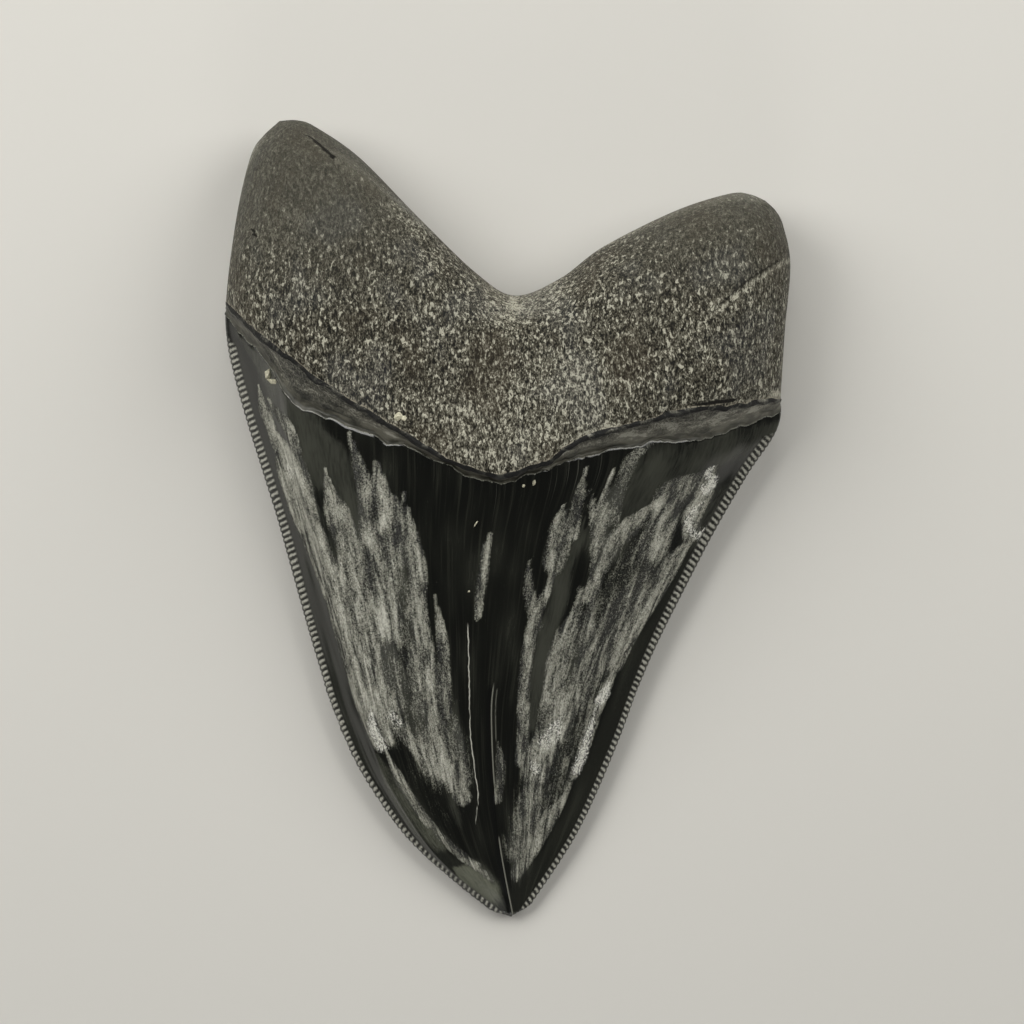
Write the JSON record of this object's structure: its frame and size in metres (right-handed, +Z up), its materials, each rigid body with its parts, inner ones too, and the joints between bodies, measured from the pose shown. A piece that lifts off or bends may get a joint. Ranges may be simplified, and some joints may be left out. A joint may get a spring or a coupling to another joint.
{
  "type": "megalodon tooth",
  "caption": "Large fossil shark tooth lying on its flat outer face: broad serrated triangular crown, bare chevron band and a thick, forked, grainy root.",
  "frame": {"origin": "on the table under the middle of the tooth's box, with the tooth lying on its flat outer face", "axes": "+Z up out of the domed inner face, +Y from the tip to the root's lobes, +X to the right when the inner face is seen with its root up"},
  "size_m": [0.0954, 0.1342, 0.0265],
  "materials": {
    "fossil": "glossy black enamel with silky grey streaks on the crown, matt speckled olive-brown root"
  },
  "bodies": {
    "root": {"tooth": "fossil"}
  },
  "joints": []
}
